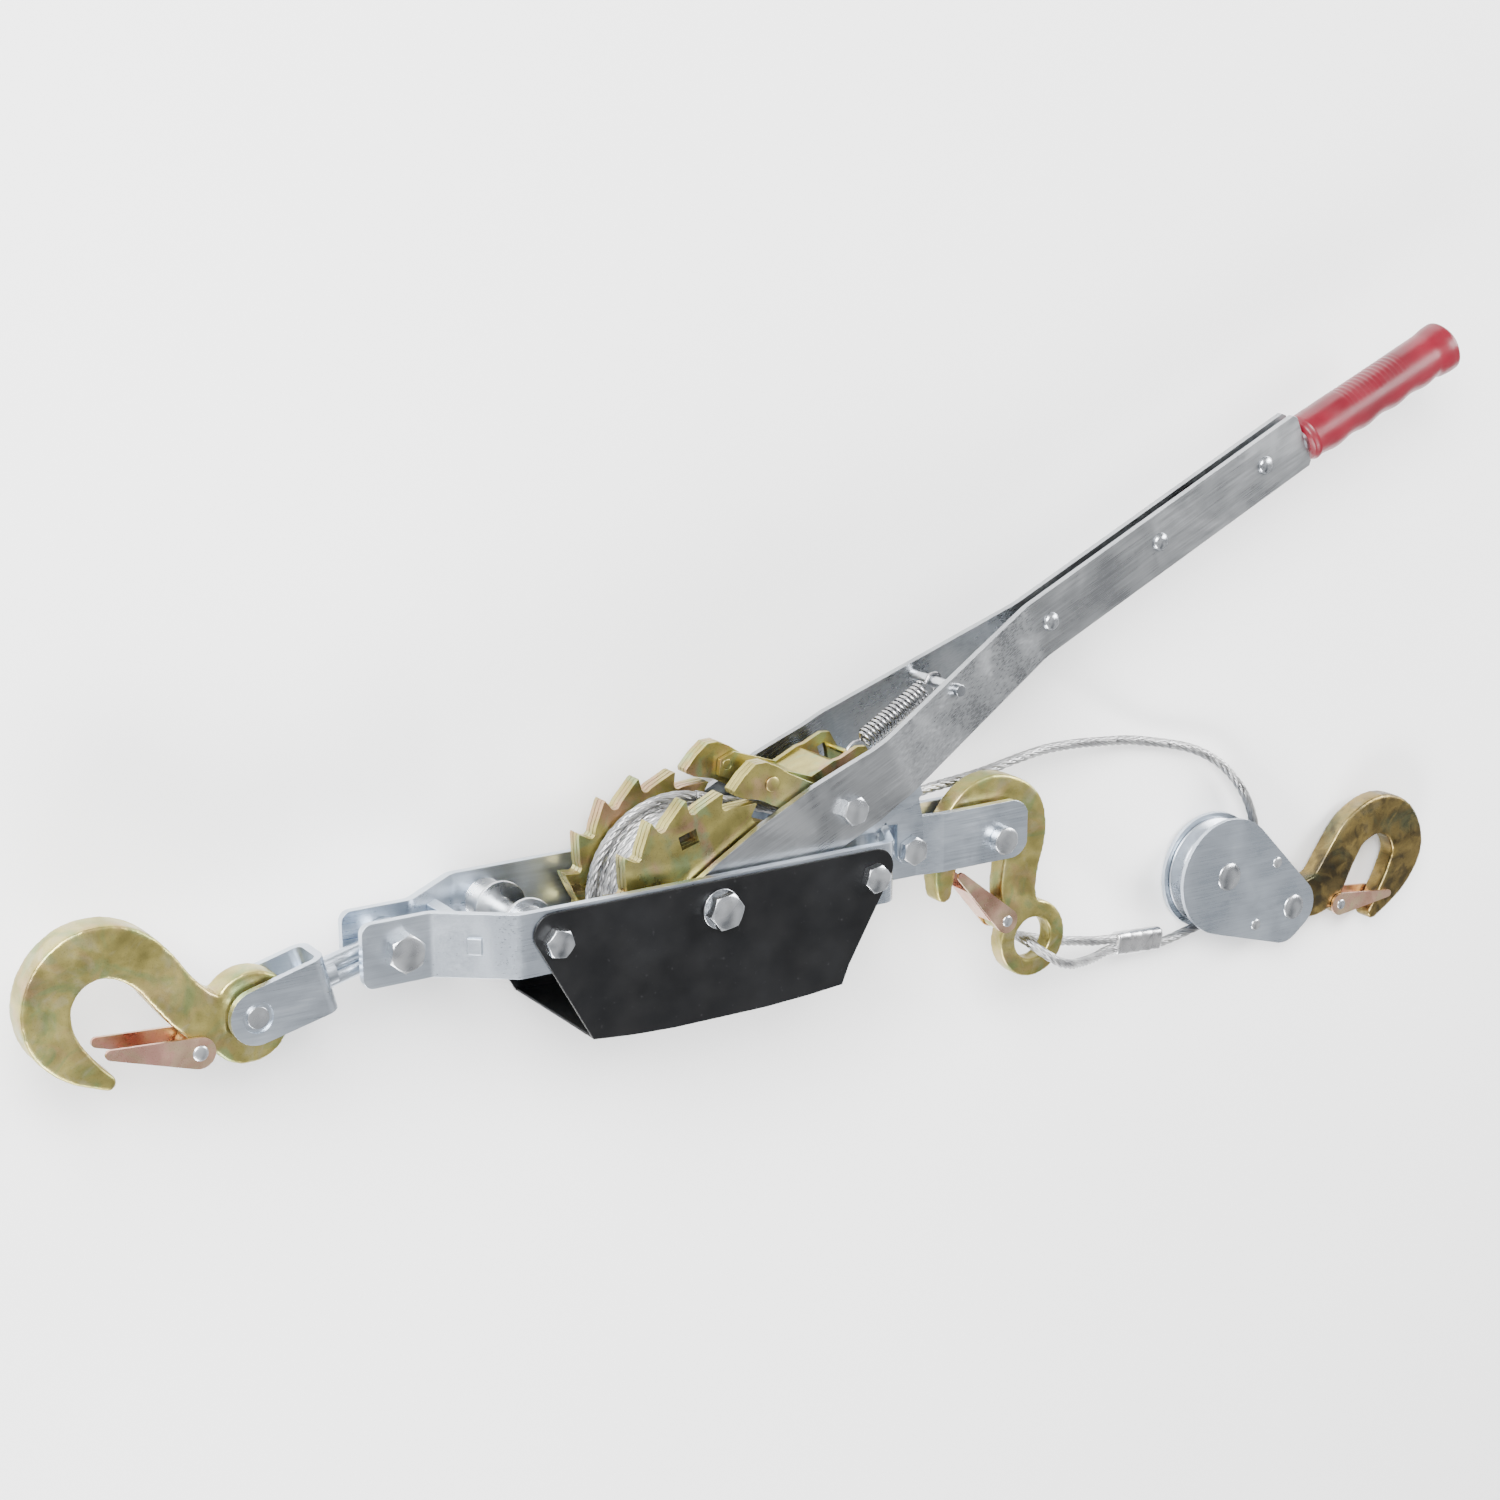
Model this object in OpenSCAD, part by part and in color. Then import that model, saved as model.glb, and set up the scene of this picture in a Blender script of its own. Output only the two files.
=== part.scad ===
// Come along winch: a hand ratchet puller with twin ratchet wheels, wire rope and three hooks.
// It lies on its side. The main axle stands along Z, the frame runs along X,
// and the handle reaches towards +X and +Y. Heights are measured from the frame's middle plane.

/* [Frame] */
// Width of the flat bar that the side plates are bent from
plate_h = 31; // [28:1:34]
// Thickness of a side plate
plate_t = 4; // [3:0.5:4.5]
// Distance from the middle plane to a side plate's outer face at the drum
frame_half = 38.2; // [38:0.1:39]
// Distance from the middle plane to a side plate's outer face at the frame's two ends
end_half = 13; // [12.5:0.1:14]
// Distance from the main axle to each guard bolt
guard_bolt_x = 88; // [84:1:90]
// Distance from the main axle to the swivel bolt
swivel_x = 153; // [150:1:156]
// Distance from the main axle to the hook pin
hook_pin_x = 186; // [184:1:188]

/* [Guard] */
// Thickness of the guard's sheet
guard_t = 1.5; // [1:0.1:2]
// Depth of the guard's middle below the main axle
guard_depth = 55.2; // [55:0.1:58]

/* [Drum] */
// Number of teeth on each ratchet wheel
teeth = 16; // [14:1:18]
// Radius over the teeth
tip_r = 52.5; // [51:0.1:52.8]
// Radius at the tooth roots
root_r = 44.5; // [44:0.1:46]
// Thickness of a ratchet wheel
wheel_t = 9.6; // [8:0.1:10]
// Radius of the wound rope
wound_r = 41; // [36:0.5:42]
// Diameter of the wire rope
rope_d = 5.4; // [4.5:0.1:5.6]

/* [Handle] */
// Angle of the handle above the frame
handle_angle = 25.3; // [24:0.1:27]
// Thickness of a handle plate
handle_t = 3.6; // [3:0.1:4]
// Length of the grip
grip_len = 112; // [90:1:120]
// Radius of the grip
grip_r = 14.5; // [13:0.1:15]

/* [Hooks] */
// Thickness of the anchor hook
anchor_t = 16; // [13:0.5:17]
// Thickness of the cable hook and of the block hook
small_hook_t = 12; // [10:0.5:12]

/* [Pulley block] */
// Radius of the rope's centre line around the sheave
sheave_rope_r = 27.5; // [26:0.5:28]
// Thickness of a cheek plate
cheek_t = 2.5; // [2:0.1:3]

/* [Hidden] */

$fn = 48;
// Height of the middle plane above the surface that the winch lies on
mid = 50;
// Place of the main axle, so that the winch stands centred on the origin
axle_x = -104.6;
axle_y = -63.6;
// Clearance of a running fit, on the radius
run = 0.05;
// Gap between parts that move past each other
gap = 0.4;

m8_r = 4;
m8_head_r = 13 / sqrt(3);
m8_head_t = 5.3;
m8_nut_t = 6.5;
m10_r = 5;
m10_head_r = 16.5 / sqrt(3);
m10_head_t = 6.4;
m10_nut_t = 8;

plate_in = frame_half - plate_t;
guard_face = frame_half + guard_t;
end_in = end_half - plate_t;
left_end_x = -173;
right_end_x = 205.5;

wheel_in = 17.6;
wheel_out = wheel_in + wheel_t;
pitch = 360 / teeth;
// Angle of the tooth that the drive pawl pushes
first_tooth = 79.1;
core_r = 22;
hub_r = 11;

handle_in = wheel_out + 1.2;
handle_out = handle_in + handle_t;
grip_half = 4.4;
handle_gap = grip_half - handle_t / 2;
core_bar_r = 7;
// The drive pawl turns on this bolt
pawl_pivot = [80, 34];
stop_pivot = [125.2, 2.2];
neck_half = end_half - 2.4;
strap_in = neck_half + 4.6;
strap_out = strap_in + 3;
stop_face = strap_out + 0.2;
arm_in = strap_out;
arm_out = 25.8;
spring_pin = [99.5, 52];
spring_from = [103, 54];
spring_to = [151, 82];
spring_r = 5.6;
spring_wire_r = 0.9;

// The anchor chain runs from the swivel bolt towards the anchor hook at this angle
chain_angle = 194;
swivel_at = [-swivel_x, 0];
clevis_base = 35;
clevis_reach = 73.5;
clevis_half = 13;
clevis_pin_at = swivel_at + clevis_reach * [cos(chain_angle), sin(chain_angle)];
clevis_pin_r = 5.2;
anchor_latch_at = [-251, -30];

hook_pin_at = [hook_pin_x, -4];
hook_pin_r = 6;
cable_eye = [214.5, -66];
cable_eye_r = 21;
cable_hole_r = 11.5;
cable_eye_t = 10;
cable_latch_at = [195, -52];

sheave_at = [381, -71];
block_s = -39;
block_half = 9.5;
rivet_at = [431, -98];
cheek_r = 34;
cheek_tail_r = 16;
block_latch_at = [470, -104];
block_head_t = 1.5;

// Centre line of the rope: distance along the frame, distance towards the handle's side,
// and height over the middle plane, from the drum through the block to the ferrule and the loop
rope_route = [
  [12, 43.2, -3], [30, 37.5, -3], [48, 32, -3], [64, 27, -3], [80, 22.8, -3], [96, 20.3, -3],
  [112, 19.4, -3], [128, 20, -4], [142, 21.4, -6.5], [154, 22, -10], [166, 22.4, -12],
  [180, 23.2, -13], [196, 24.6, -14], [212, 26.4, -16], [228, 27.4, -19], [243, 27.2, -23],
  [258, 25.8, -27], [272, 24, -31], [286, 21.6, -35], [300, 19.4, -38.5], [314, 17, -41.5],
  [329, 13.6, -43], [345, 9.6, -43.5], [360, 5, -43], [373, -1.4, -42], [384, -9.4, -41],
  [393, -19, -40], [400, -30, -39.2], [405, -42, -39], [407.8, -54, -39], [408.5, -63, -39],
  [408.5, -71, -39], [407.4, -78.6, -39], [404.2, -85.8, -39], [399.2, -91.7, -39],
  [392.7, -96, -39], [385.2, -98.3, -39], [376, -99.2, -39], [366, -100.6, -39],
  [356, -102.4, -38.9], [346, -104, -38.4], [336, -104.2, -37.3], [317, -101.4, -33.9],
  [298.6, -98.7, -30.5], [289, -97.4, -26.5], [277, -96, -19.5], [265, -93.4, -12],
  [253, -90, -4], [242, -86.4, 3.6], [231, -81.8, 8.6], [222, -76.2, 9.8], [215.8, -71.4, 7.6],
  [212.4, -68, 3], [211.8, -67, -2], [213.8, -68, -7], [219.4, -70.4, -10.6],
  [228, -73.6, -12.8], [240, -77.6, -15], [253, -81.6, -18], [266, -85.2, -21.6],
  [279, -89, -25.6], [290, -91.4, -28.8], [299.4, -92.9, -30.5], [318, -95.6, -33.9],
  [337.4, -98.5, -37.5]];
rope_sides = 8;
ferrule_from = [299, -95.8, -30.5];
ferrule_to = [336, -101.3, -37.3];
strand_half = 2.95;

// ---------- Points and outlines ----------

function unit(v) = v / norm(v);
function turned(v) = [-v[1], v[0]];
function polar(centre, r, a) = centre + r * [cos(a), sin(a)];
function arc(centre, r, from, to, n = 10) =
  [for (i = [0 : n]) polar(centre, r, from + (to - from) * i / n)];
function last(list) = list[len(list) - 1];

// One point of a smooth curve through four points that follow one another
function smooth(a, b, c, d, t) =
  0.5 * (2 * b + (c - a) * t + (2 * a - 5 * b + 4 * c - d) * t * t
         + (3 * b - a - 3 * c + d) * t * t * t);
function smooth_line(p, n = 5) =
  [for (i = [0 : len(p) - 2], k = [0 : n - 1])
     smooth(p[max(i - 1, 0)], p[i], p[i + 1], p[min(i + 2, len(p) - 1)], k / n), last(p)];

function heading(p, i) =
  let (a = p[max(i - 1, 0)], b = p[min(i + 1, len(p) - 1)]) unit([b[0] - a[0], b[1] - a[1]]);

// Outline of a bar along a spine of points that each hold x, y and the width there
function bar_outline(spine) =
  let (p = smooth_line(spine), n = len(p) - 1)
  concat([for (i = [0 : n]) [p[i][0], p[i][1]] + p[i][2] / 2 * turned(heading(p, i))],
         [for (i = [n : -1 : 0]) [p[i][0], p[i][1]] - p[i][2] / 2 * turned(heading(p, i))]);

// Corner direction that keeps a bent strip's thickness
function corner(p, i) =
  let (a = unit(p[max(i, 1)] - p[max(i - 1, 0)]),
       b = unit(p[min(i + 1, len(p) - 1)] - p[min(i, len(p) - 2)]),
       n = unit(turned(a) + turned(b)))
  n / (n * turned(a));
function strip_outline(p, t) =
  let (n = len(p) - 1)
  concat([for (i = [0 : n]) p[i] + t / 2 * corner(p, i)],
         [for (i = [n : -1 : 0]) p[i] - t / 2 * corner(p, i)]);

// A path with each inner corner rounded
function rounded(p, r, n = 5) =
  [p[0],
   for (i = [1 : len(p) - 2])
     let (a = unit(p[i - 1] - p[i]), b = unit(p[i + 1] - p[i]),
          half = acos(a * b) / 2,
          reach = r / tan(half),
          centre = p[i] + unit(a + b) * r / sin(half),
          from = p[i] + a * reach - centre,
          to = p[i] + b * reach - centre)
       for (k = [0 : n]) centre + r * unit(from * (1 - k / n) + to * k / n),
   last(p)];

// ---------- Solids that repeat ----------

// Everything is drawn from the main axle and then set in its place
module placed() {
  translate([axle_x, axle_y, mid]) children();
}

// A flat piece between two heights over the middle plane
module slab(from, to) {
  translate([0, 0, from]) linear_extrude(to - from) children();
}

module post(at, r, from, to) {
  translate([at[0], at[1], from]) cylinder(r = r, h = to - from);
}

module tube(at, r, hole_r, from, to) {
  difference() {
    post(at, r, from, to);
    post(at, hole_r, from - 1, to + 1);
  }
}

// A hexagon whose corners are turned off at one end
module hex_blank(r, h, turn) {
  intersection() {
    rotate([0, 0, turn]) cylinder(r = r, h = h, $fn = 6);
    rotate_extrude()
      polygon([[0, -1], [1.1 * r, -1], [1.1 * r, h - 0.16 * r], [0.82 * r, h], [0, h]]);
  }
}

module hex_head(at, r, from, to, turn = 0) {
  translate([at[0], at[1], from]) hex_blank(r, to - from, turn);
}

module hex_nut(at, r, hole_r, from, to, turn = 0) {
  difference() {
    translate([at[0], at[1], to]) rotate([180, 0, 0]) hex_blank(r, to - from, turn);
    post(at, hole_r, from - 1, to + 1);
  }
}

// A round head with a domed edge, for rivets
module dome(at, r, from, to) {
  translate([at[0], at[1], from]) rotate_extrude()
    polygon([[0, 0], [r, 0], [0.92 * r, 0.45 * (to - from)], [0.7 * r, 0.8 * (to - from)],
             [0.35 * r, to - from], [0, to - from]]);
}

module both_sides() {
  children();
  mirror([0, 0, 1]) children();
}

// ---------- Frame ----------

function side_path() =
  rounded([[left_end_x, end_half - plate_t / 2], [-138, end_half - plate_t / 2],
           [-105, frame_half - plate_t / 2], [100, frame_half - plate_t / 2],
           [114.5, neck_half - plate_t / 2], [134, neck_half - plate_t / 2],
           [150, end_half - plate_t / 2], [right_end_x, end_half - plate_t / 2]], 7);

module side_plate_outline() {
  h = plate_h / 2;
  polygon(concat([[left_end_x, h - 5], [left_end_x, 5 - h]],
                 arc([left_end_x + 5, 5 - h], 5, 180, 270), [[right_end_x - 13, -h]],
                 arc([right_end_x - 13, 11 - h], 11, -90, -20),
                 arc([right_end_x - 13, h - 11], 11, 20, 90),
                 arc([left_end_x + 5, h - 5], 5, 90, 180)));
}

module side_plate() {
  difference() {
    intersection() {
      rotate([90, 0, 0]) translate([0, 0, -plate_h / 2]) linear_extrude(plate_h)
        polygon(strip_outline(side_path(), plate_t));
      slab(0, frame_half + 1) side_plate_outline();
    }
    post([0, 0], m10_r, 0, frame_half + 1);
    post([-guard_bolt_x, 0], m8_r, 0, frame_half + 1);
    post([guard_bolt_x, 0], m8_r, 0, frame_half + 1);
    post(swivel_at, m10_r, 0, frame_half + 1);
    post(hook_pin_at, hook_pin_r, 0, frame_half + 1);
    post(stop_pivot, m8_r, 0, frame_half + 1);
    tenon(20, frame_half + 4);
  }
}

// The cross member's tenon stands square to the bent part of a side plate
module tenon(from, to) {
  lean = atan2(frame_half - end_half, 33);
  translate([-121.5, 0, 23.6]) rotate([0, -lean, 0])
    translate([-3.5, -4, from - 30]) cube([7, 8, to - from]);
}

module near_side_plate() {
  color("lightsteelblue") placed() side_plate();
}

module far_side_plate() {
  color("lightsteelblue") placed() mirror([0, 0, 1]) side_plate();
}

module cross_member() {
  color("lightsteelblue") placed() {
    difference() {
      slab(-24, 24) polygon([[-126, -9], [-119, -9], [-119, 9], [-126, 9]]);
      both_sides() translate([-121.5, 0, 23.6])
        rotate([0, -atan2(frame_half - end_half, 33), 0])
          translate([-30, -20, -plate_t / 2]) cube([60, 40, 30]);
    }
    both_sides() intersection() {
      tenon(26, 33.4);
      slab(12, frame_half) square([300, 40], center = true);
    }
  }
}

function guard_line() =
  [[-69.6, 3.9 - guard_depth], [-48, 1.8 - guard_depth], [-26, guard_t / 2 - guard_depth],
   [26, guard_t / 2 - guard_depth], [50, 1.9 - guard_depth], [70, 3.5 - guard_depth]];

module guard_panel() {
  line = guard_line();
  difference() {
    slab(frame_half, guard_face)
      polygon(concat(arc([-89.5, 4], 10, 90, 205),
                     [for (i = [0 : len(line) - 1]) line[i] - guard_t / 2 * corner(line, i)],
                     [[74, -43]], arc([90, 4], 10, -20, 90)));
    post([0, 0], m10_r, 0, frame_half + 9);
    post([-guard_bolt_x, 0], m8_r, 0, frame_half + 9);
    post([guard_bolt_x, 0], m8_r, 0, frame_half + 9);
  }
}

module near_guard_panel() {
  color([0.1, 0.1, 0.11]) placed() guard_panel();
}

module far_guard_panel() {
  color([0.1, 0.1, 0.11]) placed() mirror([0, 0, 1]) guard_panel();
}

module guard_floor() {
  color([0.1, 0.1, 0.11]) placed()
    slab(-frame_half, frame_half) polygon(strip_outline(guard_line(), guard_t));
}

module guard_bolts() {
  color("gainsboro") placed() for (side = [-1, 1]) {
    hex_head([side * guard_bolt_x, 0], m8_head_r, guard_face, guard_face + m8_head_t, 12 * side);
    post([side * guard_bolt_x, 0], m8_r, -mid, guard_face);
  }
}

module guard_nuts() {
  color("gainsboro") placed() for (side = [-1, 1])
    hex_nut([side * guard_bolt_x, 0], m8_head_r, m8_r, -guard_face - m8_nut_t, -guard_face, 8);
}

module main_bolt() {
  color("gainsboro") placed() {
    hex_head([0, 0], m10_head_r, guard_face + 1.6, guard_face + 1.6 + m10_head_t, 8);
    post([0, 0], m10_r, -mid, guard_face + 1.6);
  }
}

module main_washers() {
  color("gainsboro") placed() tube([0, 0], 10, m10_r, guard_face, guard_face + 1.6);
}

module main_nut() {
  color("gainsboro") placed()
    hex_nut([0, 0], m10_head_r, m10_r, -guard_face - m10_nut_t, -guard_face, 5);
}

// Two flanged spools on the left guard bolt keep the side plates apart
module spacer_spools() {
  at = [-guard_bolt_x, 0];
  color("silver") placed() {
    tube(at, 5.6, m8_r, -16, 10);
    tube(at, 10.5, m8_r, -plate_in, -18);
    tube(at, 13.5, m8_r, -18, -16);
    tube(at, 13, m8_r, 10, 12);
    tube(at, 9, m8_r, 12, plate_in);
  }
}

module hook_pin() {
  color("gainsboro") placed() {
    post(hook_pin_at, hook_pin_r, -end_half - 3, end_half);
    post(hook_pin_at, 7.2, end_half, end_half + 5);
    dome([hook_pin_at[0], hook_pin_at[1]], 7.2, end_half + 5, end_half + 5.8);
    mirror([0, 0, 1]) dome(hook_pin_at, 8, end_half, end_half + 3);
  }
}

module swivel_bolt() {
  color("gainsboro") placed() {
    hex_head(swivel_at, m10_head_r, end_half, end_half + m10_head_t, 20);
    post(swivel_at, m10_r, -end_half - m10_nut_t - 3, end_half);
  }
}

module swivel_nut() {
  color("gainsboro") placed()
    hex_nut(swivel_at, m10_head_r, m10_r, -end_half - m10_nut_t, -end_half, 15);
}

module stop_bolt() {
  color("gainsboro") placed() {
    hex_head(stop_pivot, m8_head_r, stop_face, stop_face + m8_head_t, 25);
    post(stop_pivot, m8_r, -stop_face - m8_nut_t - 1.5, stop_face);
  }
}

// Collars keep the straps of the stop pawl clear of the bent plates
module stop_spacers() {
  color("gainsboro") placed() {
    tube(stop_pivot, 6.2, m8_r, neck_half, strap_in - 0.2);
    tube(stop_pivot, 6.2, m8_r, 0.2 - strap_in, -neck_half);
  }
}

module stop_nut() {
  color("gainsboro") placed()
    hex_nut(stop_pivot, m8_head_r, m8_r, -stop_face - m8_nut_t, -stop_face, 10);
}

// ---------- Rope ----------

function ray(p, i) = unit(p[min(i + 1, len(p) - 1)] - p[max(i - 1, 0)]);
// A direction across the path, carried along it without twisting
function across(p, i) =
  i == 0 ? unit(cross(ray(p, 0), [0, 0, 1]))
         : let (w = across(p, i - 1), t = ray(p, i)) unit(w - (w * t) * t);

module swept(p, r, sides) {
  ways = [for (i = [0 : len(p) - 1]) across(p, i)];
  points = [for (i = [0 : len(p) - 1], k = [0 : sides - 1])
    let (u = ways[i], v = cross(ray(p, i), u), a = 360 * k / sides)
      p[i] + r * cos(a) * u + r * sin(a) * v];
  rings = len(p);
  faces = concat(
    [for (i = [0 : rings - 2], k = [0 : sides - 1])
       let (a = i * sides + k, b = i * sides + (k + 1) % sides)
         [a, b, b + sides, a + sides]],
    [[for (k = [sides - 1 : -1 : 0]) k]],
    [[for (k = [0 : sides - 1]) (rings - 1) * sides + k]]);
  polyhedron(points, faces);
}

module wire_rope() {
  color("silver") placed() swept(rope_route, rope_d / 2, rope_sides);
}

// The ferrule is drawn as a plain oval sleeve around both strands
module ferrule() {
  way = ferrule_to - ferrule_from;
  long = norm(way);
  spin = atan2(way[1], way[0]);
  dip = acos(way[2] / long);
  color("whitesmoke") placed() translate(ferrule_from) rotate([0, dip, spin])
    difference() {
      linear_extrude(long) ferrule_outline(4.2);
      translate([0, 0, -1]) linear_extrude(long + 2) ferrule_outline(rope_d / 2 + run);
    }
}

module ferrule_outline(r) {
  for (side = [-1, 1]) translate([0, side * strand_half]) circle(r = r);
  square([2 * r, 2 * strand_half], center = true);
}

// ---------- Drum ----------

// One tooth: a long back slope up to the next tip, then a steep face down to the root
function tooth(i) =
  let (a = first_tooth + i * pitch)
  [polar([0, 0], tip_r, a), polar([0, 0], tip_r - 0.4, a + 1.6),
   polar([0, 0], root_r + 1.6, a + 0.66 * pitch), polar([0, 0], root_r, a + 0.82 * pitch),
   polar([0, 0], root_r + 0.5, a + 0.93 * pitch), polar([0, 0], root_r + 2, a + 0.98 * pitch)];

module wheel(from, to) {
  difference() {
    slab(from, to) polygon([for (i = [0 : teeth - 1]) each tooth(i)]);
    post([0, 0], hub_r, from - 1, to + 1);
    for (a = [106 : 90 : 376])
      rotate([0, 0, a]) translate([30, -5, from - 1]) cube([7, 10, to - from + 2]);
  }
}

module near_wheel() {
  color([0.72, 0.68, 0.42]) placed() wheel(wheel_in, wheel_out);
}

module far_wheel() {
  color([0.72, 0.68, 0.42]) placed() wheel(-wheel_out, -wheel_in);
}

// The core joins the wheels: a tube for the winding, and a hub that runs on the main bolt
module drum_core() {
  color([0.7, 0.66, 0.45]) placed() {
    tube([0, 0], core_r, hub_r, -wheel_in, wheel_in);
    tube([0, 0], hub_r, m10_r + run, -wheel_out - 0.6, wheel_out + 0.6);
  }
}

module rope_winding() {
  color("silver") placed() difference() {
    translate([0, 0, -wheel_in]) rotate_extrude() polygon(winding_outline());
    post([0, 0], core_r, -wheel_in - 1, wheel_in + 1);
  }
}

// The turns of rope show as rounded ridges along the winding
function winding_outline() =
  let (turns = 6, w = 2 * wheel_in / turns)
  concat([[core_r - 1, 0], [wound_r - 1.2, 0]],
         [for (i = [0 : turns - 1], k = [1 : 4])
            [wound_r - 1.2 + 1.2 * sin(36 * k), w * (i + k / 5)]],
         [[wound_r - 1.2, 2 * wheel_in], [core_r - 1, 2 * wheel_in]]);

// ---------- Handle ----------

// A handle plate is drawn along its own length and then leaned to the handle's angle
function handle_path() =
  rounded([[-14, handle_in + handle_t / 2], [120, handle_in + handle_t / 2],
           [234, grip_half], [430, grip_half]], 30);

module handle_plate_outline() {
  polygon(concat(arc([0, 0], 15, 110, 262), [[40, -17], [98, -18.6], [112, -17.2], [150, -16.4],
                                             [240, -14.8], [428, -14.8], [430, -12.8]],
                 [[430, 14], [428, 16], [240, 16.4], [150, 16.2], [110, 16], [92, 17.6],
                  [73, 19], [41, 18.8], [12, 16.2]]));
}

module leaned() {
  rotate([0, 0, handle_angle]) children();
}

module handle_plate() {
  difference() {
    leaned() intersection() {
      rotate([90, 0, 0]) translate([0, 0, -40]) linear_extrude(80)
        polygon(strip_outline(handle_path(), handle_t));
      slab(0, handle_out + 1) handle_plate_outline();
    }
    post([0, 0], m10_r + run, 0, handle_out + 1);
    post(pawl_pivot, m8_r, 0, handle_out + 1);
    for (at = rivet_places()) post(at, 3, 0, handle_out + 1);
    post(spring_to, 3, 0, handle_out + 1);
  }
}

function rivet_places() = [for (x = [244.2, 322.7, 400.8]) polar([0, 0], x, handle_angle + 0.2)];

module near_handle_plate() {
  color("silver") placed() handle_plate();
}

module far_handle_plate() {
  color("silver") placed() mirror([0, 0, 1]) handle_plate();
}

module handle_rivets() {
  face = grip_half + handle_t / 2;
  places = rivet_places();
  color("gainsboro") placed() {
    for (at = places) {
      post(at, 3, -face, face);
      both_sides() dome(at, 5, face, face + 2.4);
    }
    for (at = [places[0], places[1]]) tube(at, 5, 3, -face + handle_t, face - handle_t);
  }
}

// A tongue between the plates' ends widens into the round bar that carries the grip
module handle_core() {
  color("silver") placed() difference() {
    union() {
      leaned() slab(-handle_gap, handle_gap) translate([382, -9]) square([49.6, 18]);
      along_grip() translate([0, 0, -2]) cylinder(r = core_bar_r, h = 106);
    }
    post(rivet_places()[2], 3, -20, 20);
  }
}

// The grip starts a little below the plates' middle line and is turned down from it
module along_grip() {
  leaned() translate([432, -2.5, 0]) rotate([0, 90, -2]) children();
}

module grip() {
  color([0.72, 0.07, 0.2]) placed() along_grip()
    difference() {
      rotate_extrude()
        polygon(concat([[0, 0], [grip_r - 1, 0], [grip_r, 1.5], [grip_r, grip_len - 2],
                        [grip_r - 2, grip_len], [0, grip_len]]));
      translate([0, 0, -1]) cylinder(r = core_bar_r, h = 105);
    }
}

module pawl_bolt() {
  color("gainsboro") placed() {
    hex_head(pawl_pivot, m8_head_r, handle_out, handle_out + m8_head_t, 10);
    post(pawl_pivot, m8_r, -mid, handle_out);
  }
}

module pawl_nut() {
  color("gainsboro") placed() 
    hex_nut(pawl_pivot, m8_head_r, m8_r, -handle_out - 8, -handle_out, 3);
}

module spring_stud() {
  color("gainsboro") placed() post(spring_to, 3, -24, 24);
}

module pawl_spring() {
  color("silver") placed() pawl_spring_body();
}

module pawl_spring_body() {
  way = spring_to - spring_from;
  translate([spring_from[0], spring_from[1], 0]) rotate([0, 90, atan2(way[1], way[0])])
    difference() {
      cylinder(r = spring_r, h = norm(way) - 5);
      translate([0, 0, -1]) cylinder(r = spring_r - 2 * spring_wire_r, h = norm(way));
    }
}

// ---------- Drive pawl ----------

module arm_outline() {
  polygon([[16.4, 49.9], [16.2, 52], [22, 58.4], [28.4, 63.4], [34.5, 63.6], [41, 60.5],
           [48, 55.6], [62, 48.6], [70, 44], [66, 34], [50, 37], [42, 39.4], [31, 45.2],
           [21, 47.6]]);
}

module pawl_arms() {
  color([0.75, 0.68, 0.42]) placed() both_sides()
    difference() {
      slab(17.8, 26.8) arm_outline();
      post([37.8, 52.2], 2.6, 10, 30);
      post([58, 42.6], 2.6, 10, 30);
    }
}

module pawl_rivets() {
  color([0.78, 0.7, 0.45]) placed() both_sides() for (at = [[37.8, 52.2], [58, 42.6]]) {
    post(at, 2.6, 14.8, 26.8);
    dome(at, 4, 26.8, 27.5);
  }
}

module carrier_outline() {
  polygon([[33, 47], [34, 55], [42, 58], [66, 49.5], [79, 55.4], [83, 56], [93, 60.4],
           [98, 60], [109, 41.6], [100, 34], [88, 25.4], [80, 24.5], [70, 29], [64, 36],
           [50, 40]]);
}

// A channel: two flanges that turn on the pawl bolt and a web between them
module pawl_carrier() {
  color([0.7, 0.7, 0.4]) placed() {
    both_sides() difference() {
      slab(14.8, 17.8) carrier_outline();
      post(pawl_pivot, m8_r + run, 10, 30);
      post([37.8, 52.2], 2.6, 10, 30);
      post([58, 42.6], 2.6, 10, 30);
      post(spring_pin, 1.5, 10, 30);
      slab(10, 30) polygon(strip_outline(arc([76, 46], 18.6, -14, 26, 6), 4.6));
    }
    slab(-14.8, 14.8) polygon(strip_outline([[50, 50.4], [66, 46.9], [80, 52.6], [88, 49.4]], 3));
    post(spring_pin, 1.5, -17.8, 17.8);
  }
}

// ---------- Stop pawl ----------

module stop_strap_outline() {
  polygon(concat(arc(stop_pivot, 8, 180, 360, 16), [[133, 16], [129, 33]],
                 arc([120, 32.6], 8, 20, 160), [[109.8, 24], [110.6, 17], [117.2, 16.6]]));
}

module stop_arm_outline() {
  polygon([[127, 33], [125.6, 38], [120, 40.4], [112, 38], [84, 25.5], [60, 29.5], [47.5, 33.4],
           [43.8, 31.9], [46.4, 27.8], [49, 23.8], [58, 19.5], [80, 17.5], [98, 17.5],
           [112, 25.5], [122, 28]]);
}

// Straps outside the frame carry two arms that reach over it to the wheels, with a web between
module stop_pawl() {
  color("gainsboro") placed() {
    both_sides() difference() {
      slab(strap_in, strap_out) stop_strap_outline();
      post(stop_pivot, m8_r + run, 0, 30);
    }
    both_sides() slab(arm_in, arm_out) stop_arm_outline();
    post([120, 33.5], 3.4, -strap_in, strap_in);
    slab(-arm_in, arm_in) polygon(strip_outline([[99, 24.3], [117, 31.5]], 2.4));
  }
}

// ---------- Anchor chain ----------

module along_chain() {
  translate([swivel_at[0], swivel_at[1], 0]) rotate([0, 0, chain_angle]) children();
}

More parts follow.
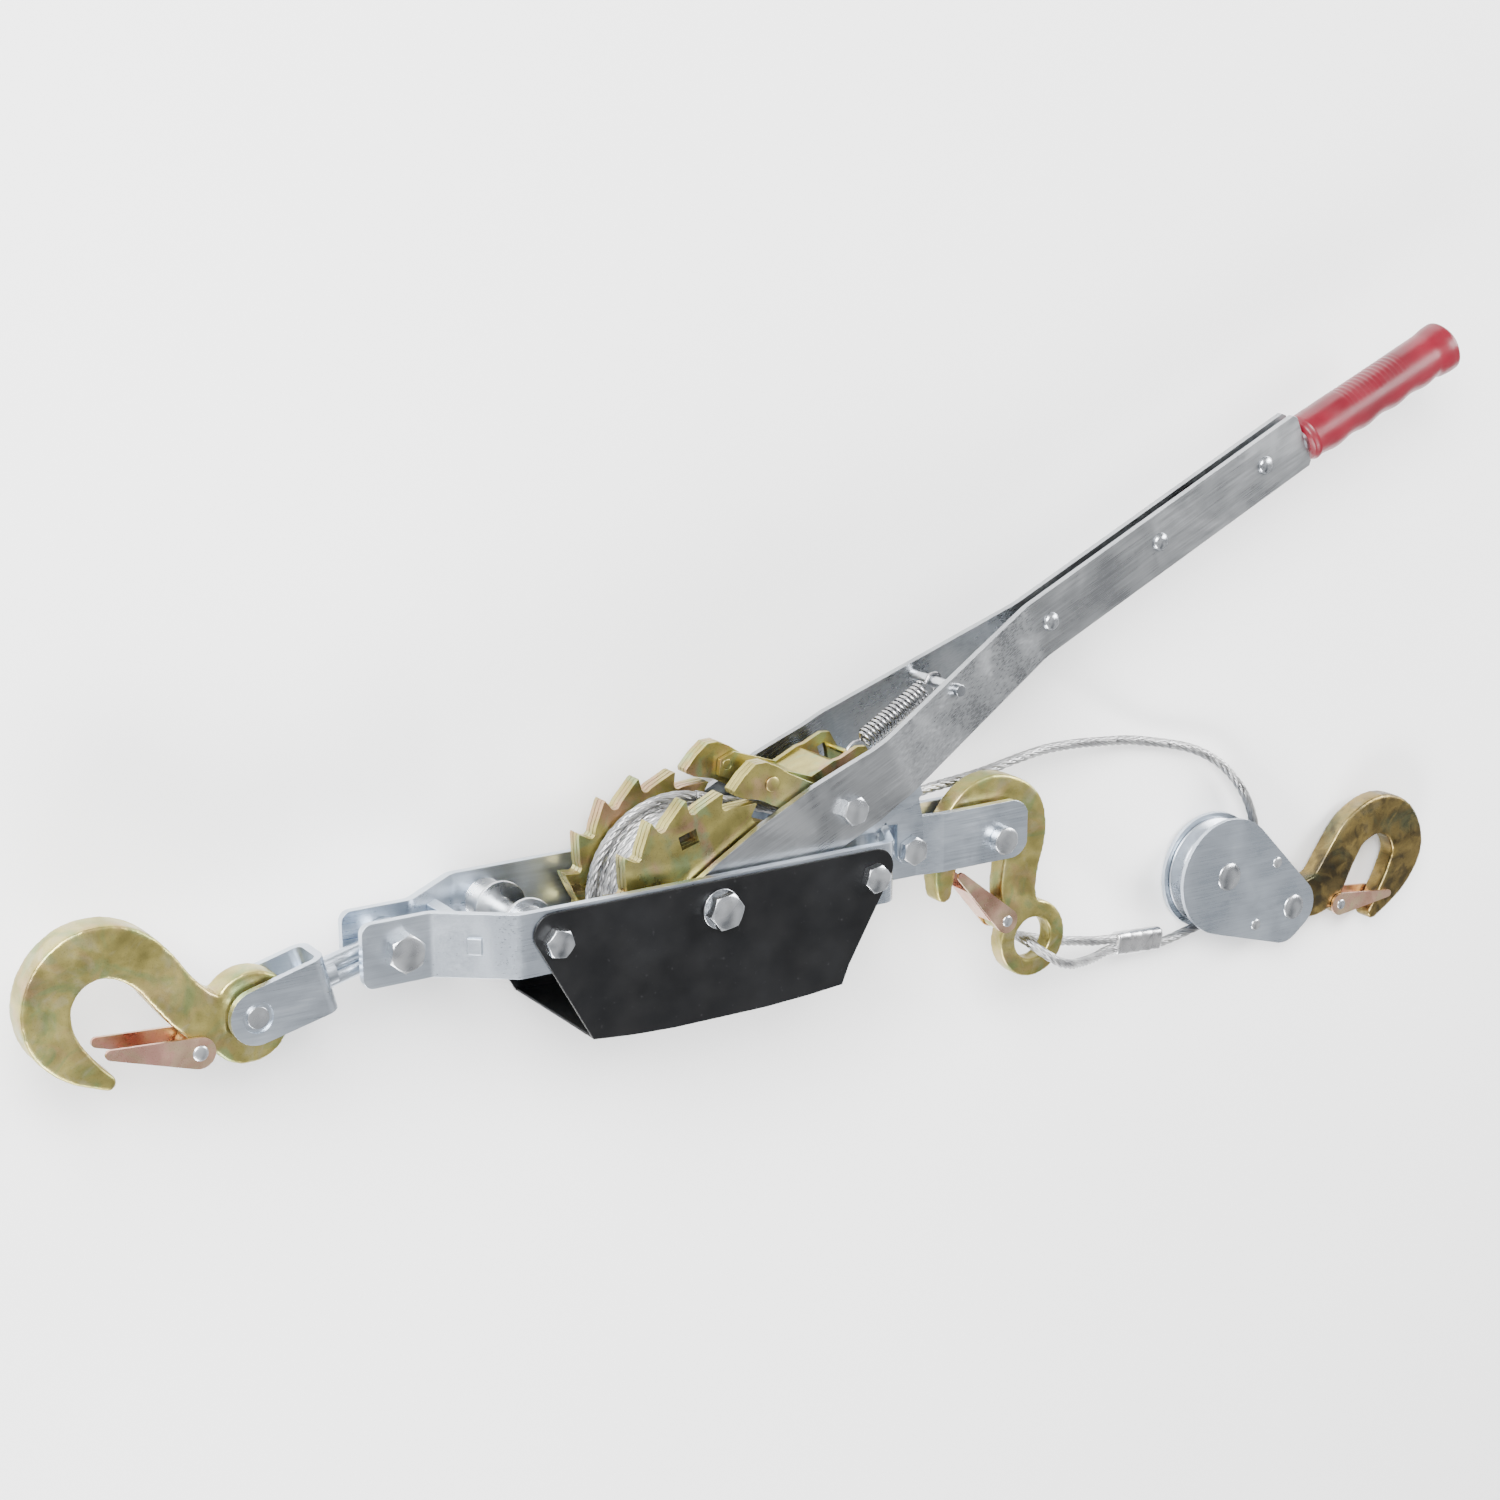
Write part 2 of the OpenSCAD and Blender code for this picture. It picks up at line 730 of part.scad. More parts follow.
// The eye turns on the swivel bolt; its two legs end in a round stud with a head
module swivel_eye() {
  color("lightsteelblue") placed() {
    tube(swivel_at, 10, m10_r + run, -end_in + gap, end_in - gap);
    difference() {
      along_chain() {
        for (side = [-1, 1]) translate([0, 3.6 * side, 0]) rotate([0, 90, 0])
          cylinder(r = 4, h = clevis_base - 1);
        rotate([0, 90, 0]) translate([0, 0, clevis_base - 5]) cylinder(r = 6, h = 10);
        rotate([0, 90, 0]) translate([0, 0, clevis_base + 4.4]) cylinder(r = 7.4, h = 4);
      }
      post(swivel_at, m10_r + run, -20, 20);
    }
  }
}

// A U of flat bar: its base turns on the stud and its ends hold the clevis pin
module clevis() {
  base = clevis_base;
  reach = clevis_reach;
  color("lightsteelblue") placed() along_chain() difference() {
    intersection() {
      rotate([90, 0, 0]) translate([0, 0, -15]) linear_extrude(30)
        polygon(strip_outline(rounded([[reach + 15, 1.8 - clevis_half], [base + 2, 1.8 - clevis_half],
          [base + 2, clevis_half - 1.8], [reach + 15, clevis_half - 1.8]], 5), 3.6));
      slab(-20, 20) polygon(concat([[base - 1, -13.6], [reach, -13]],
                                   arc([reach, 0], 13, -90, 90, 16), [[base - 1, 13.6]]));
    }
    translate([reach, 0, -30]) cylinder(r = clevis_pin_r, h = 60);
    rotate([0, 90, 0]) cylinder(r = 6 + run, h = base + 10);
    both_sides() translate([reach, 0, clevis_half - 1.2]) cylinder(r = 7.4, h = 5);
  }
}

module clevis_pin() {
  color("gainsboro") placed() {
    post(clevis_pin_at, clevis_pin_r, -clevis_half - 0.4, clevis_half + 0.4);
  }
}

// A forged hook: a ring around its pin and a bar that bends round the bowl
module hook_body(spine, eye, eye_r, hole_r, t, eye_t, lobe, lobe_r, pin_r, swell = [0, 0]) {
  difference() {
    union() {
      slab(-t / 2, t / 2) polygon(bar_outline(spine));
      post(last_point(spine), last(spine)[2] / 2, -t / 2, t / 2);
      post(eye, eye_r, -eye_t / 2, eye_t / 2);
      if (norm(swell) > 0) post(eye + swell, eye_r, -eye_t / 2, eye_t / 2);
      post(lobe, lobe_r, -t / 2, t / 2);
    }
    post(eye, hole_r, -30, 30);
    post(lobe, pin_r, -30, 30);
  }
}

function last_point(spine) = [last(spine)[0], last(spine)[1]];

// A sheet latch: two cheeks beside the hook and a web between them on the mouth side
module latch_body(from, to, r, end_r, t, hole_r, web_side) {
  way = to - from;
  long = norm(way);
  translate([from[0], from[1], 0]) rotate([0, 0, atan2(way[1], way[0])]) {
    both_sides() difference() {
      slab(t / 2 + gap, t / 2 + gap + 1.6)
        polygon(concat(arc([0, 0], r, 80, 280, 12), arc([long - end_r, 0], end_r, -90, 90, 8)));
      translate([0, 0, -30]) cylinder(r = hole_r, h = 60);
    }
    slab(-t / 2 - gap - 0.01, t / 2 + gap + 0.01) polygon(strip_outline(
      [[1.2 * r, -web_side * (0.9 * r - 0.5)], [long - 12.5, -web_side * (end_r + 0.4)]], 1.5));
  }
}

module latch_pin_body(at, r, t) {
  post(at, r, -t / 2 - 2.4, t / 2 + 2.4);
  both_sides() dome(at, 1.6 * r, t / 2 + gap + 1.6, t / 2 + gap + 2.6);
}

anchor_spine = [[-237, -21, 24], [-250, -12.6, 22.4], [-260, -1.4, 21.4], [-268.6, 10.6, 22],
                [-278.6, 19.8, 23.6], [-290, 24, 24.4], [-302, 22.6, 24.6], [-312.4, 15, 24],
                [-318, 3, 23], [-317, -10, 21.6], [-311.6, -20, 18.4], [-304, -27.8, 14.4],
                [-297, -33, 10], [-292.6, -36, 7.4]];

module anchor_hook() {
  color([0.6, 0.56, 0.28]) placed()
    hook_body(anchor_spine, clevis_pin_at, 20, clevis_pin_r + run, anchor_t, 14,
              anchor_latch_at, 6.5, 2.4, [-2, -3.4]);
}

module anchor_latch_pin() {
  color("silver") placed() latch_pin_body(anchor_latch_at, 2.4, anchor_t);
}

module anchor_latch() {
  color([0.85, 0.65, 0.55]) placed()
    latch_body(anchor_latch_at, [-294, -22], 7.4, 2.4, anchor_t, 2.4 + run, -1);
}

cable_spine = [[207.6, -50, 20], [204, -38, 22.6], [205.2, -24, 23.4], [208.4, -8, 25],
               [204.3, 6.3, 27.8], [190.4, 15.3, 25.4], [177.4, 14.2, 25.4], [165.6, 6.6, 21],
               [158.6, -6, 17], [156.4, -20, 13], [156, -31, 9]];

module cable_hook() {
  color([0.6, 0.56, 0.28]) placed()
    hook_body(cable_spine, cable_eye, cable_eye_r, cable_hole_r, small_hook_t, cable_eye_t,
              cable_latch_at, 6, 2);
}

module cable_latch_pin() {
  color("silver") placed() latch_pin_body(cable_latch_at, 2, small_hook_t);
}

module cable_latch() {
  color([0.85, 0.65, 0.55]) placed()
    latch_body(cable_latch_at, [163.6, -21], 6.6, 2.2, small_hook_t, 2 + run, -1);
}

// ---------- Pulley block ----------

module at_block() {
  translate([0, 0, block_s]) children();
}

// An egg of three round stretches with straight sides between them
module cheek_outline() {
  polygon(concat(arc(sheave_at, cheek_r, 43.5, 254, 36), arc([424, -104.5], 14, 254, 308, 8),
                 arc([430.5, -97], cheek_tail_r, -52, 43.5, 12)));
}

module cheek() {
  difference() {
    slab(block_half - cheek_t, block_half) cheek_outline();
    post(sheave_at, 6, 0, 20);
    post(rivet_at, 5, 0, 20);
    for (at = spacer_places()) post(at, 2, 0, 20);
  }
}

function spacer_places() = [[417, -68.6], [402.5, -103.6]];

module near_cheek() {
  color("gainsboro") placed() at_block() cheek();
}

module far_cheek() {
  color("gainsboro") placed() at_block() mirror([0, 0, 1]) cheek();
}

module block_spacers() {
  color("gainsboro") placed() at_block() for (at = spacer_places()) {
    tube(at, 3.2, 2, cheek_t - block_half, block_half - cheek_t);
    post(at, 2, -block_half, block_half);
    both_sides() dome(at, 3.5, block_half, block_half + 1);
  }
}

module sheave_axle() {
  color("gainsboro") placed() at_block() {
    post(sheave_at, 6, -block_half, block_half);
    both_sides() dome(sheave_at, 8.4, block_half, block_half + block_head_t);
  }
}

module hook_rivet() {
  color("gainsboro") placed() at_block() {
    post(rivet_at, 5, -block_half, block_half);
    both_sides() dome(rivet_at, 7.6, block_half, block_half + block_head_t);
  }
}

module sheave() {
  rim = sheave_rope_r + 3.6;
  seat = rope_d / 2 + 0.8;
  groove = sheave_rope_r - seat;
  w = block_half - cheek_t - gap;
  color("silver") placed() at_block() translate([sheave_at[0], sheave_at[1], 0])
    rotate_extrude()
      polygon(concat([[6 + run, -w], [rim, -w], [rim, 1.2 - w]],
                     [for (a = [-70 : 20 : 70])
                        [groove + seat * (1 - cos(a)), seat * sin(a)]],
                     [[rim, w - 1.2], [rim, w], [6 + run, w]]));
}

block_spine = [[443, -97, 24], [459, -93, 26.6], [471, -75, 24], [482, -61, 23],
               [500, -54.5, 24], [516.4, -61, 24.4], [524, -78, 24], [517.4, -94, 20.6],
               [508, -105.4, 14.6], [498.6, -115, 7.6]];

module block_hook() {
  color([0.5, 0.44, 0.26]) placed() at_block()
    hook_body(block_spine, rivet_at, 14.5, 5 + run, small_hook_t, small_hook_t,
              block_latch_at, 6, 2);
}

module block_latch_pin() {
  color("silver") placed() at_block() latch_pin_body(block_latch_at, 2, small_hook_t);
}

module block_latch() {
  color([0.7, 0.6, 0.35]) placed() at_block()
    latch_body(block_latch_at, [510, -104], 6.6, 2.2, small_hook_t, 2 + run, 1);
}

near_side_plate();
far_side_plate();
near_guard_panel();
far_guard_panel();
guard_floor();
guard_bolts();
guard_nuts();
main_bolt();
main_washers();
main_nut();
spacer_spools();
cross_member();
hook_pin();
swivel_bolt();
swivel_nut();
stop_bolt();
stop_spacers();
stop_nut();
wire_rope();
ferrule();
near_wheel();
far_wheel();
drum_core();
rope_winding();
near_handle_plate();
far_handle_plate();
handle_rivets();
handle_core();
grip();
pawl_bolt();
pawl_nut();
spring_stud();
pawl_spring();
pawl_carrier();
pawl_arms();
pawl_rivets();
stop_pawl();
swivel_eye();
clevis();
clevis_pin();
anchor_hook();
anchor_latch_pin();
anchor_latch();
cable_hook();
cable_latch_pin();
cable_latch();
near_cheek();
far_cheek();
block_spacers();
sheave_axle();
hook_rivet();
sheave();
block_hook();
block_latch_pin();
block_latch();
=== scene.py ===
import math

import bpy
import numpy as np
from mathutils import Matrix, Vector


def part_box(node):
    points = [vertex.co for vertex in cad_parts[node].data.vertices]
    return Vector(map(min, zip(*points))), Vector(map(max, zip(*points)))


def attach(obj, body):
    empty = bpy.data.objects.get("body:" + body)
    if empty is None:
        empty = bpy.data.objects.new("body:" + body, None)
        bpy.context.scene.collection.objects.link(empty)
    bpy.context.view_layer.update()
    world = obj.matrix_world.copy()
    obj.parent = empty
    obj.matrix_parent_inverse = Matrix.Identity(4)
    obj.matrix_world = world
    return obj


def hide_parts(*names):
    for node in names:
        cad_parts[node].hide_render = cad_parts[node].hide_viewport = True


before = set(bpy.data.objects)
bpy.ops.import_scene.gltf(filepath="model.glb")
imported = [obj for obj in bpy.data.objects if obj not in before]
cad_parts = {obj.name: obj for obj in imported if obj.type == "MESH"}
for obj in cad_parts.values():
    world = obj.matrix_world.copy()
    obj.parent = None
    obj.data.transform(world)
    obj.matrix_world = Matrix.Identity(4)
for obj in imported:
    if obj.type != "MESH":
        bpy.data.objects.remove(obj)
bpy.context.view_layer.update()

MM = 0.001
LOW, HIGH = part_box("drum_core")
# Middle of the main axle, on the middle plane of the frame
AXLE = (LOW + HIGH) / 2
# Rise of the handle above the frame, in degrees
HANDLE_ANGLE = 25.3


def at(x, y, s):
    """A point in millimetres from AXLE: along the frame, towards the handle, and up."""
    return AXLE + Vector((x, y, s)) * MM


def round_axle(angle, radius, s):
    """A point from its angle in degrees round the axle, its radius and its height."""
    a = math.radians(angle)
    return at(radius * math.cos(a), radius * math.sin(a), s)


def smooth(t):
    """0 below 0, 1 above 1, and an easy curve between."""
    t = max(0.0, min(1.0, t))
    return t * t * (3 - 2 * t)


def linked(name, data):
    """A new object in the scene."""
    made = bpy.data.objects.new(name, data)
    bpy.context.scene.collection.objects.link(made)
    return made


# ---------- Camera, floor and light ----------

SENSOR_WIDTH, LENS = 36, 69.139
# Degrees from straight above: towards the anchor hook, towards the handle, and the roll
CAMERA_TURN, CAMERA_TILT, CAMERA_ROLL = 31.96768, 15.63449, -0.2317
# The point looked at, in millimetres, and the camera's distance from it in metres
CAMERA_AIM, CAMERA_DISTANCE = (41.721, 62.369, 0), 1.40425

FLOOR_HALF = 6.0

# Name, place from the middle of the winch, width and height, all in metres, and watts
LIGHTS = [("key", (-1.1, 1.2, 1.6), (1.3, 1.3), 160),
          ("side", (1.9, 0.9, 1.1), (0.9, 1.6), 90),
          ("low_fill", (-0.9, -1.7, 1.0), (1.4, 0.7), 80)]


def add_camera():
    data = bpy.data.cameras.new("camera")
    data.sensor_width, data.lens = SENSOR_WIDTH, LENS
    data.clip_start, data.clip_end = 0.05, 50
    camera = linked("camera", data)
    turn, tilt, roll = (math.radians(v) for v in (CAMERA_TURN, CAMERA_TILT, CAMERA_ROLL))
    flat = math.cos(tilt)
    back = Vector((-math.sin(turn) * flat, math.sin(tilt), math.cos(turn) * flat))
    right = Vector((math.cos(turn), 0, math.sin(turn)))
    up = back.cross(right)
    side = right * math.cos(roll) + up * math.sin(roll)
    top = up * math.cos(roll) - right * math.sin(roll)
    camera.matrix_world = Matrix((side, top, back)).transposed().to_4x4()
    camera.location = at(*CAMERA_AIM) + back * CAMERA_DISTANCE
    bpy.context.scene.camera = camera


def add_floor():
    mesh = bpy.data.meshes.new("floor")
    corners = [(-1, -1), (1, -1), (1, 1), (-1, 1)]
    mesh.from_pydata([(x * FLOOR_HALF, y * FLOOR_HALF, 0) for x, y in corners], [],
                     [(0, 1, 2, 3)])
    floor = linked("floor", mesh)
    look = Look("floor_paper", (0.93, 0.93, 0.93), 0.9, 0.0)
    look.tint(look.noise(3, 3), (0.92, 0.92, 0.92), (0.95, 0.95, 0.95))
    mesh.materials.append(look.material)


def add_lights():
    aim = at(80, 0, 0)
    for name, place, size, power in LIGHTS:
        data = bpy.data.lights.new(name, "AREA")
        data.shape, data.size, data.size_y = "RECTANGLE", *size
        data.energy = power
        light = linked(name, data)
        light.location = aim + Vector(place)
        light.rotation_mode = "QUATERNION"
        light.rotation_quaternion = Vector(place).to_track_quat("Z", "Y")


def add_world():
    """A studio of soft pale and grey patches, for the metal to mirror."""
    world = bpy.data.worlds.new("studio")
    bpy.context.scene.world = world
    world.use_nodes = True
    tree = world.node_tree
    place = tree.nodes.new("ShaderNodeTexCoord")
    cloud = tree.nodes.new("ShaderNodeTexNoise")
    cloud.inputs["Scale"].default_value = 2.4
    cloud.inputs["Detail"].default_value = 1.0
    ramp = tree.nodes.new("ShaderNodeValToRGB")
    grey, white = ramp.color_ramp.elements
    grey.position, grey.color = 0.36, (0.16, 0.165, 0.175, 1)
    white.position, white.color = 0.62, (1.0, 1.0, 1.0, 1)
    tree.links.new(place.outputs["Generated"], cloud.inputs["Vector"])
    tree.links.new(cloud.outputs["Fac"], ramp.inputs[0])
    tree.links.new(ramp.outputs[0], tree.nodes["Background"].inputs["Color"])
    tree.nodes["Background"].inputs["Strength"].default_value = 1.0


# ---------- Materials ----------

# Distance between the rings of a thread's relief, in millimetres
THREAD_RINGS = 1.25
# Half the width of the dark line between two sheets
SEAM_HALF = 0.34 * MM
# One wire to this many millimetres along a rope, and this many wires round it
WIRE_PITCH, WIRES_ROUND = 5.0, 15.0


class Look:
    """A material on one Principled shader, with noise driving its colour, roughness and relief."""

    def __init__(self, name, colour, roughness, metallic=1.0, **plain):
        self.material = bpy.data.materials.new(name)
        self.material.use_nodes = True
        self.material.diffuse_color = (*colour, 1)
        self.tree = self.material.node_tree
        self.surface = self.tree.nodes["Principled BSDF"]
        self.surface.inputs["Base Color"].default_value = (*colour, 1)
        self.surface.inputs["Roughness"].default_value = roughness
        self.surface.inputs["Metallic"].default_value = metallic
        for key, value in plain.items():
            self.surface.inputs[key.replace("_", " ")].default_value = value
        self.place = self.tree.nodes.new("ShaderNodeTexCoord").outputs["Object"]
        self.colour = None

    def node(self, kind, *inputs, **settings):
        made = self.tree.nodes.new(kind)
        for key, value in settings.items():
            setattr(made, key, value)
        for i, value in enumerate(inputs):
            if isinstance(value, bpy.types.NodeSocket):
                self.tree.links.new(value, made.inputs[i])
            elif value is not None:
                made.inputs[i].default_value = value
        return made

    def calc(self, operation, *values):
        return self.node("ShaderNodeMath", *values, operation=operation).outputs[0]

    def noise(self, scale, detail=4.0, stretch=(1, 1, 1), turn=0.0, twist=0.0):
        """Noise with scale features to the metre, turned by degrees about z.

        It is drawn out along the axis whose stretch is small.
        """
        turned = self.node("ShaderNodeVectorRotate", self.place, rotation_type="Z_AXIS")
        turned.inputs["Angle"].default_value = -math.radians(turn)
        drawn = self.node("ShaderNodeVectorMath", turned.outputs[0], stretch,
                          operation="MULTIPLY")
        made = self.tree.nodes.new("ShaderNodeTexNoise")
        self.tree.links.new(drawn.outputs[0], made.inputs["Vector"])
        made.inputs["Scale"].default_value = scale
        made.inputs["Detail"].default_value = detail
        made.inputs["Distortion"].default_value = twist
        return made.outputs["Fac"]

    def spread(self, value, low, high, to_low=0.0, to_high=1.0):
        """The value's range from low to high, stretched to another range."""
        made = self.tree.nodes.new("ShaderNodeMapRange")
        self.tree.links.new(value, made.inputs["Value"])
        for key, number in (("From Min", low), ("From Max", high), ("To Min", to_low),
                            ("To Max", to_high)):
            made.inputs[key].default_value = number
        return made.outputs[0]

    def ramp(self, value, stops):
        made = self.tree.nodes.new("ShaderNodeValToRGB")
        ends = made.color_ramp.elements
        for i, (spot, colour) in enumerate(stops):
            stop = ends[0] if i == 0 else ends[-1] if i == len(stops) - 1 else ends.new(spot)
            stop.position, stop.color = spot, (*colour, 1)
        self.tree.links.new(value, made.inputs[0])
        self.show(made.outputs[0])

    def show(self, socket):
        self.colour = socket
        self.tree.links.new(socket, self.surface.inputs["Base Color"])

    def tint(self, value, low, high):
        self.ramp(value, [(0.3, low), (0.7, high)])

    def over(self, value, colour, share=1.0):
        """Lays a colour over what is there, where value is high."""
        mix = self.tree.nodes.new("ShaderNodeMix")
        mix.data_type = "RGBA"
        self.tree.links.new(self.calc("MULTIPLY", value, share), mix.inputs[0])
        self.tree.links.new(self.colour, mix.inputs[6])
        mix.inputs[7].default_value = (*colour, 1)
        self.show(mix.outputs[2])

    def rough(self, value, low, high):
        self.tree.links.new(self.spread(value, 0.3, 0.7, low, high),
                            self.surface.inputs["Roughness"])

    def relief(self, *layers):
        """Each layer is (height, depth in millimetres)."""
        below = None
        for height, depth in layers:
            bump = self.tree.nodes.new("ShaderNodeBump")
            bump.inputs["Strength"].default_value = 1.0
            bump.inputs["Distance"].default_value = depth * MM
            self.tree.links.new(height, bump.inputs["Height"])
            if below:
                self.tree.links.new(below, bump.inputs["Normal"])
            below = bump.outputs[0]
        self.tree.links.new(below, self.surface.inputs["Normal"])

    def height(self):
        """Height in the shared frame, in metres."""
        return self.node("ShaderNodeSeparateXYZ", self.place).outputs[2]

    def bands(self, heights, half):
        """1 in bands at these heights, each half metres to either side."""
        z = self.height()
        found = None
        for height in heights:
            away = self.calc("ABSOLUTE", self.calc("SUBTRACT", z, height))
            near = self.calc("LESS_THAN", away, half)
            found = near if found is None else self.calc("MAXIMUM", found, near)
        return found


def zinc(name, low, high, roughness, turn=0.0, streaks=1.0):
    """Zinc plating on rolled steel: clouds, dull patches, and streaks along the plate."""
    look = Look(name, high, roughness, 1.0)
    cloud = look.noise(28, 5, twist=0.6)
    lines = look.noise(1500, 3, (0.03, 1, 1), turn)
    grain = look.noise(2600, 2)
    look.tint(look.calc("ADD", look.calc("MULTIPLY", cloud, 0.72),
                        look.calc("MULTIPLY", lines, 0.28 * streaks)), low, high)
    look.over(look.spread(look.noise(75, 6), 0.62, 0.74), tuple(v * 0.72 for v in low), 0.35)
    look.rough(look.calc("ADD", look.calc("MULTIPLY", cloud, 0.6),
                         look.calc("MULTIPLY", lines, 0.4)),
               roughness - 0.09, roughness + 0.12)
    look.relief((lines, 0.008 * streaks), (grain, 0.003))
    return look.material


def bolt_zinc(name, thread_below=None):
    """Bright zinc of bolts and pins; rings like a thread's lie below a height, if one is given."""
    look = Look(name, (0.8, 0.81, 0.83), 0.26, 1.0)
    cloud = look.noise(60, 4, twist=0.4)
    look.tint(cloud, (0.4, 0.42, 0.45), (0.66, 0.68, 0.7))
    look.over(look.spread(look.noise(240, 4), 0.6, 0.7), (0.42, 0.42, 0.42), 0.25)
    look.rough(cloud, 0.18, 0.36)
    layers = [(look.noise(900, 3), 0.012)]
    if thread_below is not None:
        z = look.height()
        wave = look.calc("SINE", look.calc("MULTIPLY", z, 2 * math.pi / (THREAD_RINGS * MM)))
        thread = look.calc("MULTIPLY", wave, look.calc("LESS_THAN", z, thread_below))
        layers.insert(0, (thread, 0.28))
    look.relief(*layers)
    return look.material


def chromate(name, stops, patches, roughness, grain=0.035, seams=()):
    """Chromate on steel: clouds through four colours, patches over them, and dark seams."""
    look = Look(name, stops[1], roughness, 1.0)
    cloud = look.noise(34, 5, twist=1.4)
    look.ramp(cloud, [(0.28, stops[0]), (0.45, stops[1]), (0.6, stops[2]), (0.75, stops[3])])
    for i, (colour, share) in enumerate(patches):
        look.over(look.spread(look.noise(22 + 17 * i, 4, twist=2.0), 0.52, 0.66), colour, share)
    fine = look.noise(1500, 4)
    look.over(look.spread(fine, 0.56, 0.72), tuple(v * 0.45 for v in stops[0]), 0.4)
    look.rough(look.noise(90, 4), roughness - 0.07, roughness + 0.12)
    if seams:
        look.over(look.bands(seams, SEAM_HALF), (0.05, 0.045, 0.03), 0.8)
    look.relief((look.noise(170, 3), grain * 4), (fine, grain))
    return look.material


def black_paint():
    """Satin black of the guard, with a few paler rubs and a slight orange peel."""
    look = Look("black_paint", (0.035, 0.037, 0.042), 0.42, 0.0, Specular_IOR_Level=0.25)
    look.tint(look.noise(30, 5), (0.0025, 0.0026, 0.003), (0.005, 0.0053, 0.006))
    look.over(look.spread(look.noise(420, 5), 0.68, 0.78), (0.06, 0.06, 0.065), 0.25)
    look.rough(look.noise(55, 5), 0.32, 0.52)
    look.relief((look.noise(420, 2), 0.05), (look.noise(1700, 2), 0.012))
    return look.material


def red_vinyl():
    """Dipped vinyl of the grip, a little uneven."""
    look = Look("red_vinyl", (0.6, 0.02, 0.09), 0.24, 0.0, Coat_Weight=0.12, Coat_Roughness=0.25)
    look.tint(look.noise(40, 4), (0.1, 0.0006, 0.007), (0.16, 0.0012, 0.012))
    look.over(look.spread(look.noise(260, 4), 0.68, 0.8), (0.24, 0.015, 0.03), 0.2)
    look.rough(look.noise(70, 4), 0.28, 0.44)
    look.relief((look.noise(120, 3), 0.09), (look.noise(900, 2), 0.012))
    return look.material


def rope_wire():
    """Wires across each strand come from the sweep's UV: u runs along it and v round it."""
    look = Look("rope_wire", (0.6, 0.6, 0.6), 0.36, 1.0)
    uv = look.tree.nodes.new("ShaderNodeTexCoord").outputs["UV"]
    split = look.node("ShaderNodeSeparateXYZ", uv)
    phase = look.calc("ADD", look.calc("MULTIPLY", split.outputs[0], 1 / (WIRE_PITCH * MM)),
                      look.calc("MULTIPLY", split.outputs[1], WIRES_ROUND))
    wires = look.calc("ABSOLUTE", look.calc("SINE", look.calc("MULTIPLY", phase, math.pi)))
    look.tint(look.noise(60, 5), (0.26, 0.26, 0.265), (0.52, 0.52, 0.52))
    look.over(look.spread(wires, 0.35, 0.05), (0.1, 0.1, 0.1), 0.75)
    look.over(look.spread(look.noise(300, 4), 0.58, 0.72), (0.24, 0.23, 0.21), 0.4)
    look.rough(look.noise(120, 4), 0.26, 0.5)
    look.relief((wires, 0.16), (look.noise(1200, 2), 0.01))
    return look.material


def spring_wire():
    """Drawn steel wire."""
    look = Look("spring_wire", (0.6, 0.6, 0.61), 0.25, 1.0)
    look.tint(look.noise(300, 4), (0.3, 0.3, 0.31), (0.55, 0.55, 0.56))
    look.rough(look.noise(200, 3), 0.18, 0.34)
    look.relief((look.noise(1500, 3), 0.01))
    return look.material


def ferrule_aluminium():
    """Pressed aluminium, marked by the press."""
    look = Look("ferrule_aluminium", (0.86, 0.86, 0.87), 0.26, 1.0)
    look.tint(look.noise(90, 5), (0.5, 0.5, 0.51), (0.72, 0.72, 0.73))
    look.over(look.spread(look.noise(420, 5), 0.6, 0.72), (0.45, 0.45, 0.46), 0.35)
    look.rough(look.noise(160, 4), 0.18, 0.36)
    look.relief((look.noise(240, 3), 0.08), (look.noise(1400, 3), 0.012))
    return look.material


# ---------- Shapes ----------

ROPE_D = 5.4
STRANDS = 6
# Points on the outline of each strand
STRAND_POINTS = 5
# Where a strand's middle lies and its own radius, before the rope is scaled to ROPE_D
STRAND_AT, STRAND_RADIUS = 1.8, 0.9
# Length of rope in which a strand goes once round
LAY = 36.0


def unit(v):
    return v / np.linalg.norm(v)


def resampled(points, step):
    """Catmull-Rom curve through the points: points about one step apart, and their distances."""
    p = np.array(points, float)
    p = np.vstack([2 * p[0] - p[1], p, 2 * p[-1] - p[-2]])
    fine = []
    for a, b, c, d in zip(p[:-3], p[1:-2], p[2:-1], p[3:]):
        for t in np.linspace(0, 1, 24, endpoint=False):
            fine.append(0.5 * (2 * b + (c - a) * t + (2 * a - 5 * b + 4 * c - d) * t**2
                               + (3 * b - a - 3 * c + d) * t**3))
    fine = np.array(fine + [p[-2]])
    run = np.concatenate([[0], np.cumsum(np.linalg.norm(np.diff(fine, axis=0), axis=1))])
    count = max(2, int(round(run[-1] / step)) + 1)
    spots = np.linspace(0, run[-1], count)
    return np.stack([np.interp(spots, run, fine[:, i]) for i in range(3)], axis=1), spots


def normals_along(line):
    """Two normals at each point of a line, carried along it without twist."""
    tangents = np.gradient(line, axis=0)
    tangents /= np.linalg.norm(tangents, axis=1)[:, None]
    start = np.array([0, 0, 1.0]) if abs(tangents[0][2]) < 0.9 else np.array([1.0, 0, 0])
    normal = unit(start - tangents[0] * (start @ tangents[0]))
    normals = []
    for tangent in tangents:
        normal = unit(normal - tangent * (normal @ tangent))
        normals.append(normal)
    normals = np.array(normals)
    return normals, np.cross(tangents, normals)


def ring_at(centre, reach, spin, normals):
    """Points round a centre at angles spin; reach is a number, or one for each angle."""
    return centre + reach * (np.cos(spin)[:, None] * normals[0]
                             + np.sin(spin)[:, None] * normals[1])


